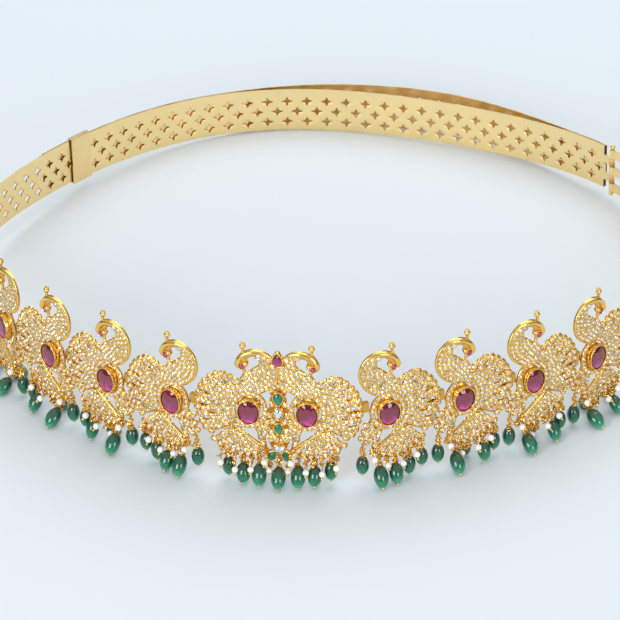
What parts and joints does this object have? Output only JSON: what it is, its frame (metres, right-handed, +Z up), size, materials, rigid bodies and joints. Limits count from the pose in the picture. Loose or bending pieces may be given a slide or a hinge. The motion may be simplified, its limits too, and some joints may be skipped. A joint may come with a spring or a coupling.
{
  "type": "oddiyanam waist belt",
  "caption": "Hinged waist belt of pierced gold peacock panels set with red, green and clear stones, bead drops below, on springy pierced strips that overlap behind.",
  "frame": {"origin": "centre of the bottom of the belt's box, on the surface that it stands on", "axes": "+X to the belt's right seen from the front, +Y from the front panels towards the strips at the back, +Z up"},
  "size_m": [0.2955, 0.2806, 0.0621],
  "materials": {
    "casting": "warm yellow gold plate, cast, bright rims and satin pavé grounds",
    "strip": "pale yellow gold plate, rolled sheet, satin",
    "pins": "polished gold plate",
    "ruby": "cut red glass, open table, foiled behind",
    "emerald": "cut green glass, foiled behind",
    "clear": "cut clear stone",
    "green_bead": "polished translucent green, deep above and milky below",
    "pearl": "white imitation pearl, soft lustre"
  },
  "bodies": {
    "root": {"panel_centre": "casting", "panel_right_1": "casting", "panel_right_2": "casting", "panel_right_3": "casting", "panel_right_4": "casting", "panel_left_1": "casting", "panel_left_2": "casting", "panel_left_3": "casting", "panel_left_4": "casting", "ruby_centre_right": "ruby", "ruby_centre_left": "ruby", "ruby_right_1": "ruby", "ruby_right_2": "ruby", "ruby_right_3": "ruby", "ruby_right_4": "ruby", "ruby_left_1": "ruby", "ruby_left_2": "ruby", "ruby_left_3": "ruby", "ruby_left_4": "ruby", "eye_stones": "ruby", "crown_ruby": "ruby", "emerald_drop_upper": "emerald", "clear_drop": "clear", "emerald_drop_lower": "emerald", "clear_oval": "clear", "emerald_leaf_right": "emerald", "emerald_leaf_left": "emerald", "green_beads_centre": "green_bead", "green_beads_right": "green_bead", "green_beads_left": "green_bead", "pearls_centre": "pearl", "pearls_right": "pearl", "pearls_left": "pearl", "head_pins_centre": "pins", "head_pins_right": "pins", "head_pins_left": "pins", "hinge_pin_right_1": "pins", "hinge_pin_right_2": "pins", "hinge_pin_right_3": "pins", "hinge_pin_right_4": "pins", "hinge_pin_left_1": "pins", "hinge_pin_left_2": "pins", "hinge_pin_left_3": "pins", "hinge_pin_left_4": "pins", "end_pin_right": "pins", "end_pin_left": "pins", "strip_pin_right": "pins", "strip_pin_left": "pins", "side_plate_right": "strip", "side_plate_left": "strip", "rear_strip_inner": "strip", "rear_strip_outer": "strip"}
  },
  "joints": []
}
